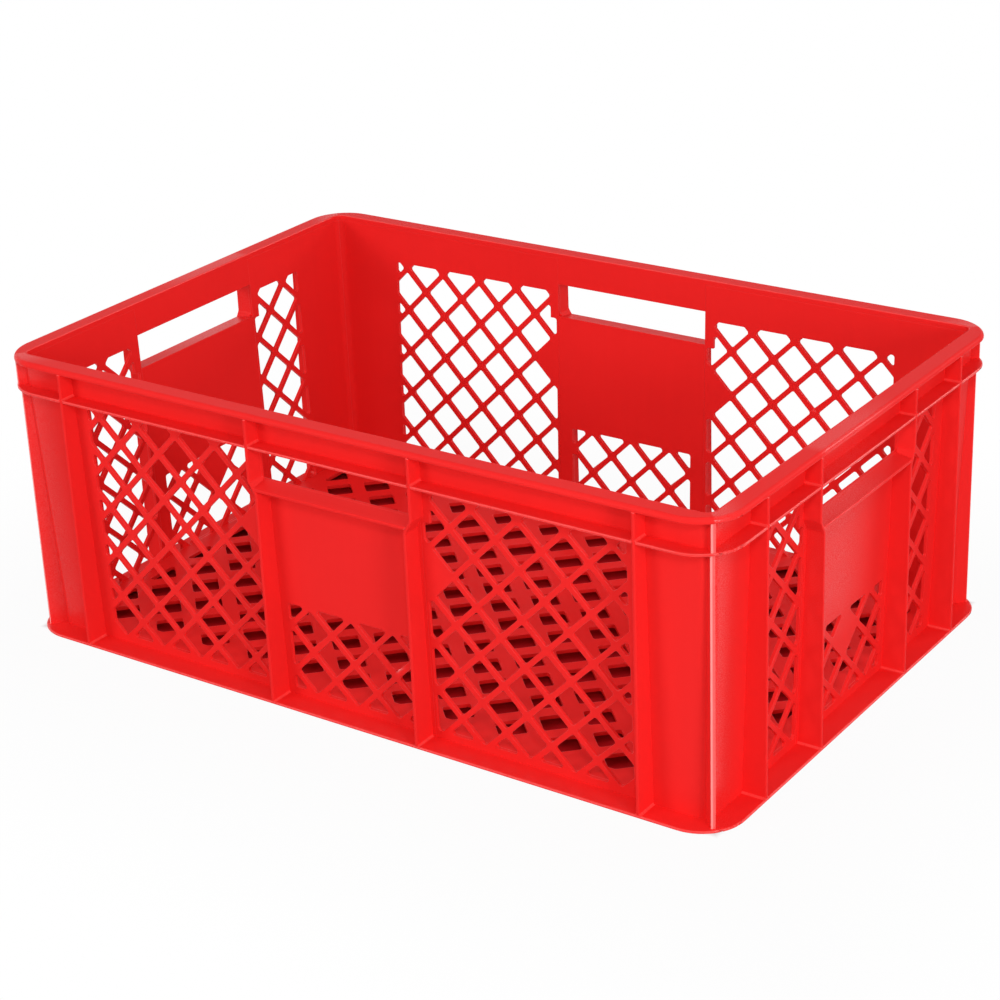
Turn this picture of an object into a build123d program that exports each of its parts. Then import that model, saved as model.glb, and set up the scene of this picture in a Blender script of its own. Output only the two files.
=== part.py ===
from build123d import *
from math import atan, ceil, cos, degrees, floor, radians, sqrt, tan
import os

os.makedirs("parts", exist_ok=True)

# Outside of the crate in millimetres, long sides along X, standing on z = 0
crate_length = 600
crate_width = 400
crate_height = 220
corner_radius = 32

# Moulded thicknesses
wall_thickness = 2.5
rim_thickness = 4.2
flange_thickness = 2
fin_thickness = 2.5
corner_fin_thickness = 3.2
lip_thickness = 2.5
floor_thickness = 3

# Rounding of the rim's shoulder and of the other free edges of flanges and fins
rim_round = 3
edge_round = 0.8

# How far the wall stands in from the outside, at the rim and at the foot
wall_recess_top = 11.5
wall_recess_foot = 18
bore_corner_radius = 7

# Clear height between the rim and the second flange
rim_gap = 19.3

# Outer fins measured from the crate corner, inner fins beside the handle slot
corner_bay = 61
slot_width = 134
fin_jog = 5.5
jog_height = 9
jog_round = 4

# Diagonal corner fins stand back from the flange edge
corner_setback_upper = 0.5
corner_setback_lower = 2.5

# Sloping lip under the handle slot
lip_edge_height = 166
lip_slope = 8

# Diamond lattice of the walls and the plain borders round it
wall_pitch = 36
wall_strand = 4
wall_first_hole = 22
hole_round = 2
fin_border = 5
corner_border = 11.5
head_border = 6.5
middle_border = 6.5
middle_lattice_top = 75

# Diamond lattice of the floor
floor_top = 8
floor_pitch = 44
floor_strand = 11
floor_border = 14

# Lean of the walls
wall_draft = degrees(atan((wall_recess_foot - wall_recess_top) / crate_height))

# Heights of the flanges
rim_base = crate_height - rim_thickness
second_top = rim_base - rim_gap
second_base = second_top - flange_thickness

# Handle slot and inner fin positions along a side
slot_half = slot_width / 2
lower_fin_face = slot_half - fin_jog
jog_low = lip_edge_height - jog_height / 2
jog_high = lip_edge_height + jog_height / 2

# Depth of a cut from the outside plane that is sure to pass the wall and its corners
reach = 2 * corner_radius

# Each pair of opposite sides is drawn once and turned half round for its partner, with the names of
# the two ends of each side
long_face = Plane(origin=(0, -crate_width / 2, 0), x_dir=(1, 0, 0), z_dir=(0, -1, 0))
short_face = Plane(origin=(crate_length / 2, 0, 0), x_dir=(0, 1, 0), z_dir=(1, 0, 0))
side_pairs = [
    (long_face, crate_length / 2, {"front": ("left", "right"), "back": ("right", "left")}),
    (short_face, crate_width / 2, {"right": ("front", "back"), "left": ("back", "front")}),
]


def tapered_block(inset):
    # Block narrowing towards the foot, its faces the given distance inside the wall's outer face
    recess = wall_recess_foot + inset
    with BuildPart() as block:
        with BuildSketch():
            Rectangle(crate_length - 2 * recess, crate_width - 2 * recess)
        extrude(amount=crate_height, taper=-wall_draft)
        fillet(block.edges().group_by(Axis.Z)[1], bore_corner_radius + wall_thickness - inset)
    return block.part


def flange_ring(base, thickness, shoulder, inner):
    # Flat flange round the whole crate with a rounded outer edge and shoulder
    with BuildPart() as ring:
        with BuildSketch(Plane.XY.offset(base)):
            RectangleRounded(crate_length, crate_width, corner_radius)
        extrude(amount=thickness)
        fillet(ring.edges().group_by(Axis.Z)[0], edge_round)
        fillet(ring.edges().group_by(Axis.Z)[-1], shoulder)
        add(inner, mode=Mode.SUBTRACT)
    return ring.part


def side_wedge(face, half_span):
    # Block that holds one side of the crate as far as the mitres at its corners
    plan = Plane(origin=face.origin, x_dir=face.x_dir, z_dir=(0, 0, 1))
    with BuildPart() as wedge:
        with BuildSketch(plan):
            with BuildLine():
                Polyline(
                    (-half_span - reach, -reach),
                    (half_span + reach, -reach),
                    (half_span - reach, reach),
                    (reach - half_span, reach),
                    close=True,
                )
            make_face()
        extrude(amount=crate_height)
    return wedge.part


def diamond_holes(opening, pitch, strand, first_hole):
    # Square holes on their corners inside an opening already drawn in by the hole rounding
    box = opening.bounding_box()
    step = pitch / 2
    size = pitch / sqrt(2) - strand - 2 * hole_round
    columns = range(floor(box.min.X / step) - 1, ceil(box.max.X / step) + 2)
    rows = range(floor((box.min.Y - first_hole) / step) - 1, ceil((box.max.Y - first_hole) / step) + 2)
    centres = [(i * step, first_hole + j * step) for i in columns for j in rows if (i + j) % 2 == 0]
    with BuildSketch() as holes:
        with Locations(*centres):
            Rectangle(size, size, rotation=45)
        add(opening, mode=Mode.INTERSECT)
        offset(amount=hole_round)
    return holes.sketch


def drawn_in(left, right, low, high):
    # Rectangle between two corners, drawn in all round by the hole rounding
    with Locations(((left + right) / 2, (low + high) / 2)):
        Rectangle(right - left - 2 * hole_round, high - low - 2 * hole_round)


def fin_prism(face, outline):
    # Sharp-edged fin running in from the outside plane
    with BuildPart() as prism:
        with BuildSketch(face):
            add(outline)
        extrude(amount=-reach)
    return prism.part


# Solids that share the wall's outer face and its inner face
wall_core = tapered_block(0)
wall_bore = tapered_block(wall_thickness)

# Whole wall up to the underside of the rim
with BuildPart() as wall_ring:
    add(wall_core)
    add(wall_bore, mode=Mode.SUBTRACT)
    split(bisect_by=Plane.XY.offset(rim_base), keep=Keep.BOTTOM)

# Three flanges, the rim lying over the top of the wall
rim_ring = flange_ring(rim_base, rim_thickness, rim_round, wall_bore)
second_ring = flange_ring(second_base, flange_thickness, edge_round, wall_core)
foot_ring = flange_ring(0, flange_thickness, edge_round, wall_core)

# Diagonal fin of the front right corner, deeper above the second flange
corner_x = crate_length / 2 - corner_radius
corner_y = corner_radius - crate_width / 2
fin_levels = [
    (flange_thickness, second_top, corner_setback_lower),
    (second_top, rim_base, corner_setback_upper),
]
with BuildPart() as diagonal_fin:
    for low, high, setback in fin_levels:
        length = corner_radius - setback
        with BuildSketch(Plane(origin=(corner_x, corner_y, low), x_dir=(1, -1, 0), z_dir=(0, 0, 1))) as strip:
            with Locations((length / 2, 0)):
                Rectangle(length, corner_fin_thickness)
            fillet(strip.vertices().group_by(Axis.X)[-1], edge_round)
        extrude(amount=high - low)
    add(wall_core, mode=Mode.SUBTRACT)

# The other three corners mirror it
with BuildPart() as all_corner_fins:
    add(diagonal_fin.part)
    mirror(about=Plane.YZ)
    mirror(about=Plane.XZ)
for solid in all_corner_fins.solids():
    depth_word = "back" if solid.center().Y > 0 else "front"
    width_word = "right" if solid.center().X > 0 else "left"
    node = f"corner_fin_{depth_word}_{width_word}"
    with BuildPart() as corner_fin:
        add(solid)
    corner_fin.part.label = node
    export_step(corner_fin.part, f"parts/{node}.step")

for face, half_span, sides in side_pairs:
    wedge = side_wedge(face, half_span)
    section = Plane(origin=face.origin, x_dir=-face.z_dir, z_dir=face.x_dir)
    outward = Axis(face.origin, face.z_dir)
    outer_fin_at = half_span - corner_bay
    pieces = {}

    # Outlines of the four fins seen from outside, left to right
    outlines = []
    for sign in (-1, 1):
        with BuildSketch() as outer_outline:
            with Locations((sign * outer_fin_at, (flange_thickness + rim_base) / 2)):
                Rectangle(fin_thickness, rim_base - flange_thickness)
        with BuildSketch() as inner_outline:
            with BuildLine():
                Polyline(
                    (sign * lower_fin_face, flange_thickness),
                    (sign * lower_fin_face, jog_low),
                    (sign * slot_half, jog_high),
                    (sign * slot_half, rim_base),
                    (sign * (slot_half + fin_thickness), rim_base),
                    (sign * (slot_half + fin_thickness), jog_high),
                    (sign * (lower_fin_face + fin_thickness), jog_low),
                    (sign * (lower_fin_face + fin_thickness), flange_thickness),
                    close=True,
                )
            make_face()
            kinks = inner_outline.vertices().group_by(Axis.Y)[1:-1]
            fillet([vertex for level in kinks for vertex in level], jog_round)
        outlines += [outer_outline.sketch, inner_outline.sketch][::-sign]
    prisms = [fin_prism(face, outline) for outline in outlines]

    # Fins with rounded front edges, ending on the wall
    for number, prism in enumerate(prisms, 1):
        with BuildPart() as fin:
            add(prism)
            front = fin.faces().sort_by(outward)[-1]
            flanks = front.edges().group_by(Axis.Z)[1:-1]
            fillet([edge for level in flanks for edge in level], edge_round)
            add(wall_core, mode=Mode.SUBTRACT)
        pieces["fin_{side}_" + str(number)] = fin.part

    # Rim, second flange and foot flange of this side
    with BuildPart() as rim:
        add(rim_ring)
        add(wedge, mode=Mode.INTERSECT)
    pieces["rim_{side}"] = rim.part
    with BuildPart() as second_flange:
        add(second_ring)
        add(wedge, mode=Mode.INTERSECT)
        add(prisms, mode=Mode.SUBTRACT)
        add(all_corner_fins.part, mode=Mode.SUBTRACT)
    pieces["second_flange_{side}"] = second_flange.part
    with BuildPart() as foot_flange:
        add(foot_ring)
        add(wedge, mode=Mode.INTERSECT)
    pieces["foot_flange_{side}"] = foot_flange.part

    # Slot cutter: open to the second flange, its sill on the slope of the lip
    with BuildPart() as slot_cutter:
        with BuildSketch(section):
            with BuildLine():
                Polyline(
                    (0, lip_edge_height),
                    (reach, lip_edge_height + reach * tan(radians(lip_slope))),
                    (reach, second_base),
                    (0, second_base),
                    close=True,
                )
            make_face()
        extrude(amount=slot_half, both=True)

    # Wall between the inner fins: a grip bar over the slot and a panel under it
    with BuildPart() as middle_wall:
        add(wall_ring.part)
        with BuildSketch(face):
            with Locations((0, crate_height / 2)):
                Rectangle(slot_width, crate_height)
        extrude(amount=-reach, mode=Mode.INTERSECT)
        add(slot_cutter.part, mode=Mode.SUBTRACT)
    with BuildPart() as grip_bar:
        add(middle_wall.solids().sort_by(Axis.Z)[-1])
    pieces["grip_bar_{side}"] = grip_bar.part
    middle_half = lower_fin_face - middle_border
    with BuildSketch() as middle_opening:
        drawn_in(-middle_half, middle_half, floor_top, middle_lattice_top)
    middle_holes = diamond_holes(middle_opening.sketch, wall_pitch, wall_strand, wall_first_hole)
    with BuildPart() as handle_panel:
        add(middle_wall.solids().sort_by(Axis.Z)[0])
        with BuildSketch(face):
            add(middle_holes)
        extrude(amount=-reach, mode=Mode.SUBTRACT)
    pieces["handle_panel_{side}"] = handle_panel.part

    # Sloping lip between the inner fins
    drop = lip_thickness / cos(radians(lip_slope))
    with BuildPart() as lip_blank:
        with BuildSketch(section) as lip_profile:
            with BuildLine():
                Polyline(
                    (0, lip_edge_height),
                    (reach, lip_edge_height + reach * tan(radians(lip_slope))),
                    (reach, lip_edge_height + reach * tan(radians(lip_slope)) - drop),
                    (0, lip_edge_height - drop),
                    close=True,
                )
            make_face()
            fillet(lip_profile.vertices().group_by(Axis.X)[0], edge_round)
        extrude(amount=slot_half, both=True)
        add(prisms, mode=Mode.SUBTRACT)
        add(wall_core, mode=Mode.SUBTRACT)
    with BuildPart() as grip_lip:
        add(lip_blank.solids().sort_by(SortBy.VOLUME)[-1])
    pieces["grip_lip_{side}"] = grip_lip.part

    # Wall panels from the corner mitre to the handle, plain in the corner and pierced between the fins
    lattice_edge = outer_fin_at - fin_thickness / 2 - corner_border
    lattice_head = second_base - head_border
    for sign, end in ((-1, "{low_end}"), (1, "{high_end}")):
        with BuildSketch() as panel_opening:
            for inner_edge, head in ((lower_fin_face, lip_edge_height), (slot_half, lattice_head)):
                edges = sorted([sign * (inner_edge + fin_thickness + fin_border), sign * lattice_edge])
                drawn_in(edges[0], edges[1], floor_top, head)
        panel_holes = diamond_holes(panel_opening.sketch, wall_pitch, wall_strand, wall_first_hole)
        with BuildPart() as wall_panel:
            add(wall_ring.part)
            add(wedge, mode=Mode.INTERSECT)
            with BuildSketch(face):
                with Locations((sign * (slot_half + half_span) / 2, crate_height / 2)):
                    Rectangle(half_span - slot_half, crate_height)
            extrude(amount=-reach, mode=Mode.INTERSECT)
            with BuildSketch(face):
                add(panel_holes)
            extrude(amount=-reach, mode=Mode.SUBTRACT)
        pieces["wall_{side}_" + end] = wall_panel.part

    # Each piece in its place and turned half round for the opposite side
    for turn, (side, ends) in zip((0, 180), sides.items()):
        for pattern, shape in pieces.items():
            node = pattern.format(side=side, low_end=ends[0], high_end=ends[1])
            with BuildPart() as piece:
                add(shape, rotation=(0, 0, turn))
            piece.part.label = node
            export_step(piece.part, f"parts/{node}.step")

# Flat floor grid held inside the wall
floor_recess = wall_recess_foot + wall_thickness + floor_border
with BuildSketch() as floor_opening:
    drawn_in(
        floor_recess - crate_length / 2,
        crate_length / 2 - floor_recess,
        floor_recess - crate_width / 2,
        crate_width / 2 - floor_recess,
    )
floor_holes = diamond_holes(floor_opening.sketch, floor_pitch, floor_strand, 0)
with BuildPart() as floor_grid:
    add(wall_bore)
    split(bisect_by=Plane.XY.offset(floor_top), keep=Keep.BOTTOM)
    split(bisect_by=Plane.XY.offset(floor_top - floor_thickness), keep=Keep.TOP)
    with BuildSketch(Plane.XY.offset(floor_top)):
        add(floor_holes)
    extrude(amount=-floor_thickness, mode=Mode.SUBTRACT)
floor_grid.part.label = "floor_grid"
export_step(floor_grid.part, "parts/floor_grid.step")
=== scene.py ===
import math

import bmesh
import bpy
import numpy as np
from mathutils import Euler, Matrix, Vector
from mathutils.bvhtree import BVHTree


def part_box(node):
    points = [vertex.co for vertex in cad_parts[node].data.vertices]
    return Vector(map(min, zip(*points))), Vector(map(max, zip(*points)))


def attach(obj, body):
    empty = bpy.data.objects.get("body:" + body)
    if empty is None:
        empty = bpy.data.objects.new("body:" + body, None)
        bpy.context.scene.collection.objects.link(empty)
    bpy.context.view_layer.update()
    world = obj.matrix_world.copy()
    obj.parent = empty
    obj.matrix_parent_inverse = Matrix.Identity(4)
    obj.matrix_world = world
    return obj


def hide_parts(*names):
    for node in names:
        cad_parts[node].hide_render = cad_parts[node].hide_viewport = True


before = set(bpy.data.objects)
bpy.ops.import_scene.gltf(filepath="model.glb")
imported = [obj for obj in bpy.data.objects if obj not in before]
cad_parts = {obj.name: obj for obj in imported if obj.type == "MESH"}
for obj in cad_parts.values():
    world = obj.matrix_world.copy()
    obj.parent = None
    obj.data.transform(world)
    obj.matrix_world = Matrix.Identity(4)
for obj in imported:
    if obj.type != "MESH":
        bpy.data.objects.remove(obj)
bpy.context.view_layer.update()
print("loaded", len(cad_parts), "moulded sections")


# a shader socket that can be added, multiplied and compared like a number
class Wire:
    def __init__(self, tree, socket):
        self.tree = tree
        self.socket = socket

    def calc(self, operation, first, second=0.0):
        node = self.tree.nodes.new("ShaderNodeMath")
        node.operation = operation
        plug(self.tree, node.inputs[0], first)
        plug(self.tree, node.inputs[1], second)
        return Wire(self.tree, node.outputs[0])

    def __add__(self, other): return self.calc("ADD", self, other)
    def __radd__(self, other): return self.calc("ADD", other, self)
    def __sub__(self, other): return self.calc("SUBTRACT", self, other)
    def __rsub__(self, other): return self.calc("SUBTRACT", other, self)
    def __mul__(self, other): return self.calc("MULTIPLY", self, other)
    def __rmul__(self, other): return self.calc("MULTIPLY", other, self)
    def __abs__(self): return self.calc("ABSOLUTE", self)
    def most(self, other): return self.calc("MAXIMUM", self, other)
    def root(self): return self.calc("SQRT", self)
    def sign(self): return self.calc("SIGN", self)


def plug(tree, slot, value):
    if isinstance(value, Wire):
        tree.links.new(value.socket, slot)
    else:
        slot.default_value = value


# the node tree of a material or a world, with one method for every other kind of node
class Paint:
    def __init__(self, owner):
        owner.use_nodes = True
        self.tree = owner.node_tree
        self.tree.nodes.clear()

    def node(self, kind, settings=None, values=None, output=0):
        made = self.tree.nodes.new("ShaderNode" + kind)
        for key, value in (settings or {}).items():
            setattr(made, key, value)
        for key, value in (values or {}).items():
            plug(self.tree, made.inputs[key], value)
        return Wire(self.tree, made.outputs[output]) if len(made.outputs) else made

    def noise(self, place, scale, detail, roughness):
        return self.node("TexNoise", {}, {"Vector": place, "Scale": scale, "Detail": detail, "Roughness": roughness})

    def ramp(self, value, low, high, start=0.0, end=1.0, curve="LINEAR"):
        return self.node("MapRange", {"interpolation_type": curve}, {0: value, 1: low, 2: high, 3: start, 4: end})

    def softRamp(self, value, low, high, start=0.0, end=1.0):
        return self.ramp(value, low, high, start, end, "SMOOTHSTEP")

    def mixColour(self, factor, first, second):
        return self.node("Mix", {"data_type": "RGBA"}, {0: factor, 6: first, 7: second}, 2)

    def backdropRays(self):
        # 1 where the camera, a reflection or a see-through surface looks at the backdrop
        rays = self.node("LightPath").socket.node.outputs
        kinds = ("Is Camera Ray", "Is Glossy Ray", "Is Transmission Ray")
        camera, glossy, through = [Wire(self.tree, rays[kind]) for kind in kinds]
        return camera.most(glossy).most(through)

    def axes(self, vector):
        apart = self.node("SeparateXYZ", {}, {"Vector": vector}).socket.node
        return [Wire(self.tree, out) for out in apart.outputs]


# moulded red plastic: satin skin with fine grain, faint flow marks up the walls, scuffs on rim and foot
# and a satin gloss beside the corner fins and on the handle panels of the short sides
plasticLook = {
    "red": (0.88, 0.0225, 0.0215, 1),
    "deepRed": (0.79, 0.0185, 0.0180, 1),
    "roughness": 0.37,
    "sheen": 0.03,
    "cloudScale": 9,
    "cloudRough": 0.10,
    "flowScale": 160,
    "flowSqueeze": (1, 1, 0.06),  # little change with height, so the marks run up the walls
    "flowShare": 0.3,
    "flowRough": 0.08,
    "grainScale": 1500,
    "grainDepth": 0.00004,
    "grainLift": 0.8,
    "flowLift": 0.5,
    "reliefStrength": 0.55,
    "scuff": (0.92, 0.13, 0.12, 1),
    "scratchScale": 420,
    "scratchFrom": (0.60, 0.72),
    "rimWear": (0.212, 0.2195),
    "footWear": (0.008, 0.0005),
    "wearShare": 0.12,
    "wearRough": 0.12,
    "wallCore": (0.2725, 0.1725),  # half sides of the wall at the foot, less its corner rounding
    "wallRound": 0.0095,
    "wallLean": 0.0295,
    "skinDepth": (0.0018, 0.0008),
    "sideGap": 0.1,  # half length of the crate less half its width
    "finGloss": (0.038, 0.002),
    "finEdge": (0, 0.001),
    "panelFade": (0.045, -0.02),
    "panelSides": (0.070, 0.062),
    "panelEnds": (0.270, 0.275),
    "panelFoot": (0.055, 0.095),
    "panelShare": 0.7,
    "glossGrain": (0.38, 0.62),
    "coatRoughness": 0.3,
    "refraction": 1.5,
}
# lattice sections stay as packed, so their edges are softened in the shading only
latticeLook = plasticLook | {
    "edgeRadius": 0.0007,
    "edgeSamples": 8,
    "edgeTurn": (0.97, 0.80),
    "edgeGloss": 0.9,
}
# rounded edges carry a painted highlight in a paler colour, and are also given a glossier finish; the corner fins
# carry the brightest painted highlight
edgeHighlightLook = plasticLook | {
    "red": (0.93, 0.075, 0.070, 1),
    "deepRed": (0.86, 0.030, 0.028, 1),
    "roughness": 0.27,
    "sheen": 0.25,
}
cornerHighlightLook = edgeHighlightLook | {
    "red": (0.98, 0.42, 0.40, 1),
    "deepRed": (0.92, 0.14, 0.13, 1),
    # painted highlight: near-white on the long-side half of each corner fin, fading to a weaker one on the
    # short-side half
    "fadeTo": (0.93, 0.09, 0.085, 1),
    "fadeAcross": (-0.0012, 0.0002),
}


def addGloss(paint, place, grain, look):
    alongX, alongY, height = paint.axes(place)
    # depth under the outer wall face: distance to a rounded rectangle that grows with height
    growth = height * look["wallLean"]
    overX = (abs(alongX) - growth - look["wallCore"][0]).most(0)
    overY = (abs(alongY) - growth - look["wallCore"][1]).most(0)
    depth = look["wallRound"] - (overX * overX + overY * overY).root()
    outside = paint.ramp(depth, *look["skinDepth"])
    # each corner fin has its gloss on the anticlockwise side
    pastFin = (abs(alongX) - abs(alongY) - look["sideGap"]) * (alongX * alongY).sign() * -1
    besideFin = paint.softRamp(pastFin, *look["finGloss"]) * paint.ramp(pastFin, *look["finEdge"])
    onPanel = paint.softRamp(alongY * alongX.sign(), *look["panelFade"])
    onPanel = onPanel * paint.ramp(abs(alongY), *look["panelSides"]) * paint.ramp(abs(alongX), *look["panelEnds"])
    onPanel = onPanel * paint.ramp(height, *look["panelFoot"]) * look["panelShare"]
    return outside * besideFin.most(onPanel) * paint.ramp(grain, *look["glossGrain"])


def makePlastic(name, look):
    material = bpy.data.materials.new(name)
    paint = Paint(material)
    place = paint.node("TexCoord", output="Object")
    alongX, alongY, height = paint.axes(place)
    cloud = paint.noise(place, look["cloudScale"], 3, 0.5)
    grain = paint.noise(place, look["grainScale"], 2, 0.6)
    upright = paint.node("Mapping", {}, {"Vector": place, "Scale": look["flowSqueeze"]})
    flow = paint.noise(upright, look["flowScale"], 4, 0.55)
    scratch = paint.ramp(paint.noise(place, look["scratchScale"], 5, 0.7), *look["scratchFrom"])
    rubbed = (paint.softRamp(height, *look["rimWear"]) + paint.softRamp(height, *look["footWear"])) * scratch
    gloss = addGloss(paint, place, grain, look)
    mottle = cloud * (1 - look["flowShare"]) + flow * look["flowShare"]
    tone = paint.mixColour(mottle, look["deepRed"], look["red"])
    tone = paint.mixColour(rubbed * look["wearShare"], tone, look["scuff"])
    # painted highlight: across each corner fin the near-white colour fades to a weaker one towards the short side
    if "fadeTo" in look:
        acrossFin = abs(alongX) - abs(alongY) - look["sideGap"]
        tone = paint.mixColour(paint.ramp(acrossFin, *look["fadeAcross"]), tone, look["fadeTo"])
    rough = look["roughness"] + (cloud - 0.5) * look["cloudRough"] + (flow - 0.5) * look["flowRough"]
    rough = rough + (rubbed + gloss) * look["wearRough"]
    relief = {
        "Strength": look["reliefStrength"],
        "Distance": look["grainDepth"],
        "Height": grain * look["grainLift"] + flow * look["flowLift"],
    }
    if "edgeRadius" in look:
        rounded = paint.node("Bevel", {"samples": look["edgeSamples"]}, {"Radius": look["edgeRadius"]})
        relief["Normal"] = rounded
        # strand edges are glossier, wherever the rounded surface turns away from the flat one
        flat = paint.node("NewGeometry", output="True Normal")
        straight = paint.node("VectorMath", {"operation": "DOT_PRODUCT"}, {0: rounded, 1: flat}, "Value")
        gloss = gloss.most(paint.ramp(straight, *look["edgeTurn"]) * look["edgeGloss"])
    skin = paint.node("BsdfPrincipled", {}, {
        "Base Color": tone,
        "Roughness": rough,
        "Normal": paint.node("Bump", {}, relief),
        "IOR": look["refraction"],
        "Specular IOR Level": look["sheen"],
        "Coat Weight": gloss,
        "Coat Roughness": look["coatRoughness"],
        "Coat IOR": look["refraction"],
    })
    paint.node("OutputMaterial", {}, {"Surface": skin})
    return material


redPlastic = makePlastic("redPlastic", plasticLook)
latticePlastic = makePlastic("latticePlastic", latticeLook)
highlightedEdge = makePlastic("highlightedEdge", edgeHighlightLook)
highlightedCorner = makePlastic("highlightedCorner", cornerHighlightLook)
print("plastic mixed")


# soft moulded edges: each sharp outward edge that no other section touches is rounded
softEdge = {
    "width": 0.0005,
    "segments": 2,
    "sharpFrom": 40,
    "touchGap": 0.00008,
    "searchMargin": 0.001,
    "weld": 0.000005,
    "merge": 0.0001,
    "tiny": 0.00001,
    "flatWithin": 0.6,
    "lattice": ("wall", "handle", "floor"),  # sections that stay as packed
    "strip": {"second": 0.0004, "foot": 0.0004, "corner": 0.0020},  # widest strip that takes the painted edge highlight
    "slender": 4,
}


def readMesh(items, what, width, kind=np.float64):
    values = np.empty(len(items) * width, kind)
    items.foreach_get(what, values)
    return values.reshape(-1, width) if width > 1 else values


def sharpEdges(mesh, limit):
    # an edge counts where its two faces turn away from each other by more than the limit
    loopEdge = readMesh(mesh.loops, "edge_index", 1, np.int32)
    total = readMesh(mesh.polygons, "loop_total", 1, np.int32)
    normal = readMesh(mesh.polygons, "normal", 3)
    centre = readMesh(mesh.polygons, "center", 3)
    middle = readMesh(mesh.vertices, "co", 3)[readMesh(mesh.edges, "vertices", 2, np.int32)].mean(axis=1)
    face = np.repeat(np.arange(len(total)), total)
    first, second = face[np.argsort(loopEdge, kind="stable")].reshape(-1, 2).T
    turn = np.degrees(np.arccos(np.clip((normal[first] * normal[second]).sum(1), -1, 1)))
    outward = ((centre[second] - middle) * normal[first]).sum(1) < 0
    return middle, (turn > limit) & outward


def markRounded(mesh, widest, slender):
    # long faces up to that wide are the strips of a rounded edge, so they take the plastic with the painted edge
    # highlight
    area = readMesh(mesh.polygons, "area", 1)
    starts = readMesh(mesh.polygons, "loop_start", 1, np.int32)
    loopEdge = readMesh(mesh.loops, "edge_index", 1, np.int32)
    ends = readMesh(mesh.edges, "vertices", 2, np.int32)
    span = np.diff(readMesh(mesh.vertices, "co", 3)[ends], axis=1)[:, 0]
    longest = np.maximum.reduceat(np.linalg.norm(span, axis=1)[loopEdge], starts)
    strip = (area < widest * longest) & (longest > slender * widest)
    mesh.polygons.foreach_set("material_index", strip.astype(np.int32))


def mergedCopy(name, node, rule):
    work = bmesh.new()
    work.from_mesh(node.data)
    bmesh.ops.remove_doubles(work, verts=work.verts, dist=rule["weld"])
    bmesh.ops.remove_doubles(work, verts=work.verts, dist=rule["merge"])
    bmesh.ops.dissolve_degenerate(work, edges=work.edges, dist=rule["tiny"])
    flat = math.radians(rule["flatWithin"])
    bmesh.ops.dissolve_limit(work, angle_limit=flat, verts=work.verts, edges=work.edges)
    mesh = bpy.data.meshes.new(name)
    work.to_mesh(mesh)
    work.free()
    for layer in [a for a in mesh.attributes if a.name == "custom_normal"]:
        mesh.attributes.remove(layer)
    return mesh


def soften(name, node, trees, boxes, rule):
    mesh = mergedCopy(name + "_moulded", node, rule)
    mesh.materials.append(redPlastic)
    # second slot: plastic with a painted highlight, a paler colour on rounded edges and a near-white one on the
    # corner fins
    mesh.materials.append(highlightedCorner if name.startswith("corner") else highlightedEdge)
    for start, widest in rule["strip"].items():
        if name.startswith(start):
            markRounded(mesh, widest, rule["slender"])
    middle, sharp = sharpEdges(mesh, rule["sharpFrom"])
    margin = rule["searchMargin"]
    for other, (low, high) in boxes.items():
        if other == name:
            continue
        near = sharp & (middle > low - margin).all(1) & (middle < high + margin).all(1)
        for index in np.flatnonzero(near):
            if trees[other].find_nearest(middle[index], rule["touchGap"])[0] is not None:
                sharp[index] = False
    weight = mesh.attributes.new("bevel_weight_edge", "FLOAT", "EDGE")
    weight.data.foreach_set("value", sharp.astype(np.float32))
    mesh.shade_smooth()
    mesh.set_sharp_from_angle(angle=math.radians(rule["sharpFrom"]))
    piece = bpy.data.objects.new(name + "_moulded", mesh)
    bpy.context.scene.collection.objects.link(piece)
    rounding = piece.modifiers.new("edgeRounding", "BEVEL")
    rounding.limit_method = "WEIGHT"
    rounding.width = rule["width"]
    rounding.segments = rule["segments"]
    rounding.use_clamp_overlap = False  # one short edge would shrink every rounding
    # the rounded bevel faces take the second slot, the plastic with the painted edge highlight
    rounding.material = 1
    shading = piece.modifiers.new("flatFaces", "WEIGHTED_NORMAL")
    shading.keep_sharp = True
    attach(piece, "root")
    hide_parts(name)


trees = {}
boxes = {}
for name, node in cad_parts.items():
    corners = [v.co for v in node.data.vertices]
    trees[name] = BVHTree.FromPolygons(corners, [p.vertices for p in node.data.polygons])
    boxes[name] = [np.array(corner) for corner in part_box(name)]
for name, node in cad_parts.items():
    if name.startswith(softEdge["lattice"]):
        for holder in node.material_slots:
            holder.material = latticePlastic
    else:
        soften(name, node, trees, boxes, softEdge)
print("edges rounded")


# small concave fillets where a fin stands on a flange, along both faces of the fin from its edge to the wall
filletLook = {
    "radius": 0.0014,
    "steps": 6,
    "wallFoot": 0.018,
    "wallTop": 0.0115,
    "crateHeight": 0.22,
    "outerHalf": (0.2, 0.3),  # half width for the long sides, half length for the short ones
    "finThickness": 0.0025,
    "flangeTops": (0.002, 0.1965),
}


def filletBead(start, end, aside, look):
    # quarter circle hollowed out of a square corner, grid of angle by length: the point at each angle is
    # the corner plus radius times (1 - sine) sideways and (1 - cosine) upwards
    angle = np.linspace(0, np.pi / 2, look["steps"] + 1)
    up = np.array((0.0, 0.0, 1.0))
    arc = look["radius"] * ((1 - np.sin(angle))[:, None] * aside + (1 - np.cos(angle))[:, None] * up)
    ring = np.vstack([np.zeros((1, 3)), arc])
    bead = np.stack([start + ring, end + ring])
    return bead if np.cross(end - start, aside)[2] < 0 else bead[::-1]  # faces outwards on either side


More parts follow.
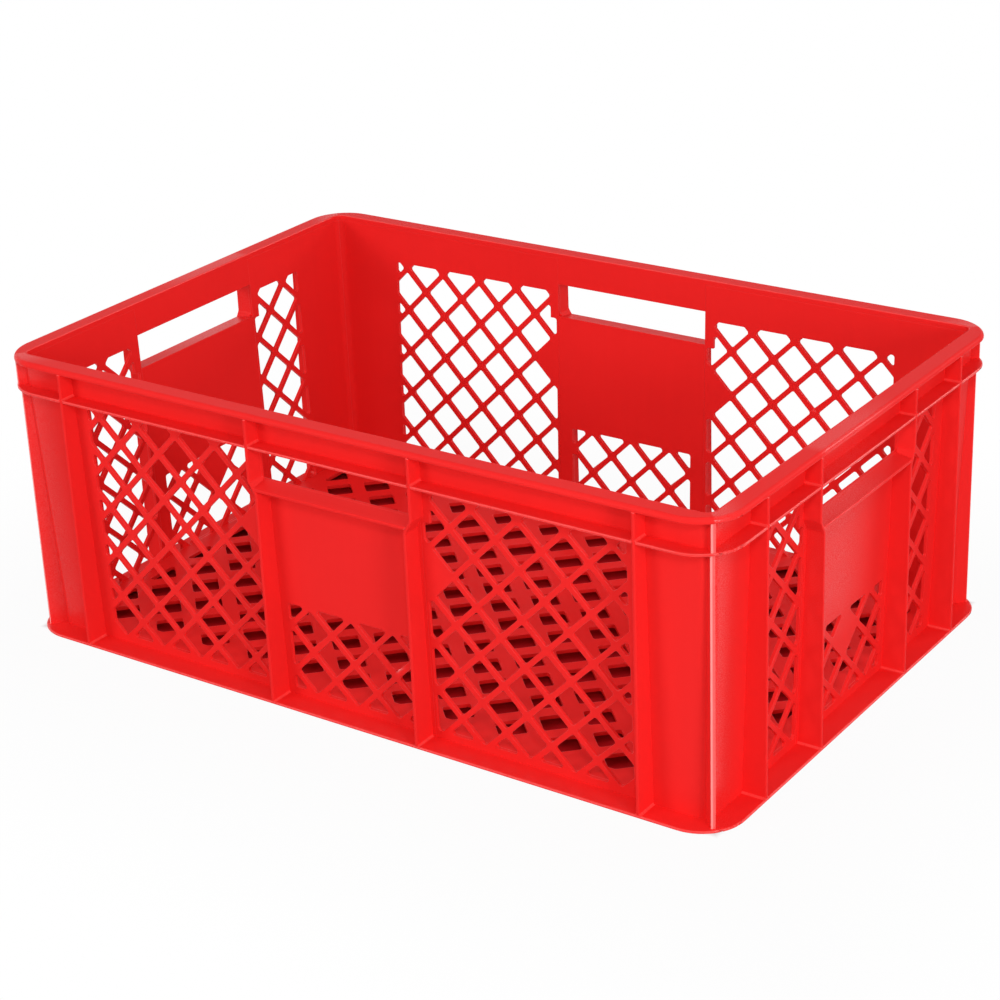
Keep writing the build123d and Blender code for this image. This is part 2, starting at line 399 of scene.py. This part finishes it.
def finBeads(name, look):
    low, high = [np.array(corner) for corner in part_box(name)]
    along = 0 if "front" in name or "back" in name else 1  # axis that the side runs along
    out = np.sign((low + high)[1 - along])
    outer = max(abs(low[1 - along]), abs(high[1 - along]))
    faces = sorted((low[along], high[along]), key=abs)
    for top in look["flangeTops"]:
        # the fin steps away from the middle of the side at its head
        near, far = faces if top < look["crateHeight"] / 2 else faces[::-1]
        toFar = np.sign(far - near)
        recess = look["wallFoot"] + (look["wallTop"] - look["wallFoot"]) * top / look["crateHeight"]
        for place, way in ((near, -toFar), (near + toFar * look["finThickness"], toFar)):
            start = np.zeros(3)
            start[[along, 1 - along, 2]] = place, out * outer, top
            end = start.copy()
            end[1 - along] = out * (look["outerHalf"][along] - recess)
            aside = np.zeros(3)
            aside[along] = way
            yield filletBead(start, end, aside, look)


def makeFillets(look):
    fins = [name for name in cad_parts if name.startswith("fin_")]
    verts = np.array([bead for name in fins for bead in finBeads(name, look)])
    count, ends, size = verts.shape[:3]
    index = np.arange(count * ends * size).reshape(count, ends, size)
    after = np.roll(index, -1, axis=2)
    sides = np.stack([index[:, 0], index[:, 1], after[:, 1], after[:, 0]], axis=-1).reshape(-1, 4)
    caps = np.concatenate([index[:, 0], index[:, 1, ::-1]])
    mesh = bpy.data.meshes.new("junctionFillets")
    mesh.from_pydata(verts.reshape(-1, 3), [], sides.tolist() + caps.tolist())
    # the fillets take the plastic with the painted edge highlight, so the whole bead is paler
    mesh.materials.append(highlightedEdge)
    mesh.shade_smooth()
    mesh.set_sharp_from_angle(angle=math.radians(softEdge["sharpFrom"]))
    piece = bpy.data.objects.new("junctionFillets", mesh)
    bpy.context.scene.collection.objects.link(piece)
    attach(piece, "root")
    print("fillets made", count)


makeFillets(filletLook)


# studio floor: white to the camera away from the crate, a soft shadow beside it, and a painted shadow under it, dark
# red ground standing in for the shade and red bounced light beneath the crate
stageLook = {
    "half": 6.0,
    "white": (0.62, 0.62, 0.62, 1),
    # painted shadow: the ground under the crate is dark red
    "paintedShadeUnderCrate": (0.45, 0.010, 0.014, 1),
    "footprint": (0.30, 0.20),
    "hidden": 0.015,
    "shadowReach": 0.30,
    "nearGlow": 0.95,
    "roughness": 0.7,
    "speckleScale": 900,
    "speckleRough": 0.2,
}


def makeFloor(look):
    half = look["half"]
    mesh = bpy.data.meshes.new("studioFloor")
    mesh.from_pydata([(-half, -half, 0), (half, -half, 0), (half, half, 0), (-half, half, 0)], [], [(0, 1, 2, 3)])
    material = bpy.data.materials.new("studioWhite")
    paint = Paint(material)
    place = paint.node("TexCoord", output="Object")
    alongX, alongY = paint.axes(place)[:2]
    beyond = (abs(alongX) - look["footprint"][0]).most(abs(alongY) - look["footprint"][1])
    outside = paint.ramp(beyond, -look["hidden"], -look["hidden"] / 3)
    glow = paint.softRamp(beyond, 0.0, look["shadowReach"], look["nearGlow"], 1.0)
    speckle = paint.noise(place, look["speckleScale"], 2, 0.5)
    # matt floor: white, with the painted shadow in dark red under the crate
    matt = paint.node("BsdfPrincipled", {}, {
        "Base Color": paint.mixColour(outside, look["paintedShadeUnderCrate"], look["white"]),
        "Roughness": look["roughness"] + speckle * look["speckleRough"],
        "Specular IOR Level": 0.0,
    })
    shine = paint.node("Emission", {}, {"Color": (1, 1, 1, 1), "Strength": 1.0})
    both = paint.node("MixShader", {}, {0: paint.backdropRays() * outside * glow, 1: matt, 2: shine})
    paint.node("OutputMaterial", {}, {"Surface": both})
    mesh.materials.append(material)
    floor = bpy.data.objects.new("studioFloor", mesh)
    bpy.context.scene.collection.objects.link(floor)


makeFloor(stageLook)


# white room: grey light, dimmer at the horizon, and pure white where the camera looks past the crate
roomLook = {"horizon": 0.26, "zenith": 0.62, "rise": (0.25, 0.75)}


def makeRoom(look):
    world = bpy.data.worlds.new("studio")
    bpy.context.scene.world = world
    paint = Paint(world)
    upward = paint.axes(paint.node("TexCoord", output="Generated"))[2]
    levels = (look["horizon"], look["zenith"], 1.0)
    low, high, white = [paint.node("Background", {}, {"Color": (1, 1, 1, 1), "Strength": s}) for s in levels]
    fill = paint.node("MixShader", {}, {0: paint.ramp(upward, *look["rise"]), 1: low, 2: high})
    both = paint.node("MixShader", {}, {0: paint.backdropRays(), 1: fill, 2: white})
    paint.node("OutputWorld", {}, {"Surface": both})


makeRoom(roomLook)

# softboxes: place, aim, width, height, watts
softboxes = {
    "keyFront": ((-1.35, -2.3, 0.95), (0.0, 0.0, 0.1), 1.0, 0.7, 22),
    "sideRight": ((2.2, -1.1, 0.60), (0.1, 0.0, 0.1), 0.5, 0.8, 22.5),
    "overhead": ((-0.1, 0.0, 2.4), (0.0, 0.0, 0.0), 1.2, 1.2, 3),
    "nearCamera": ((1.05, -1.43, 1.39), (0.0, 0.0, 0.1), 0.22, 0.22, 9),
    "backRight": ((1.4, 2.0, 1.0), (0.2, 0.0, 0.15), 0.5, 0.5, 9),
}


def makeLamp(name, place, aim, width, height, watts):
    lamp = bpy.data.lights.new(name, "AREA")
    lamp.shape = "RECTANGLE"
    lamp.size = width
    lamp.size_y = height
    lamp.energy = watts
    holder = bpy.data.objects.new(name, lamp)
    holder.location = place
    across, along, drop = np.array(aim) - np.array(place)
    tilt = math.atan2(math.hypot(across, along), -drop)
    holder.rotation_euler = (tilt, 0, math.atan2(along, across) - math.pi / 2)
    bpy.context.scene.collection.objects.link(holder)


for name, setup in softboxes.items():
    makeLamp(name, *setup)
print("lights set")

# camera: long lens from the front right, a little above
view = {
    "place": (0.97284, -1.37469, 0.84029),
    "turn": (66.0908, 2.1216, 34.3643),
    "lens": 89.8395,
    "sensor": 36,
}
lens = bpy.data.cameras.new("photoCamera")
lens.sensor_width = view["sensor"]
lens.lens = view["lens"]
eye = bpy.data.objects.new("photoCamera", lens)
eye.location = view["place"]
eye.rotation_euler = Euler([math.radians(a) for a in view["turn"]], "XYZ")
bpy.context.scene.collection.objects.link(eye)
bpy.context.scene.camera = eye
bpy.context.scene.view_settings.view_transform = "Standard"
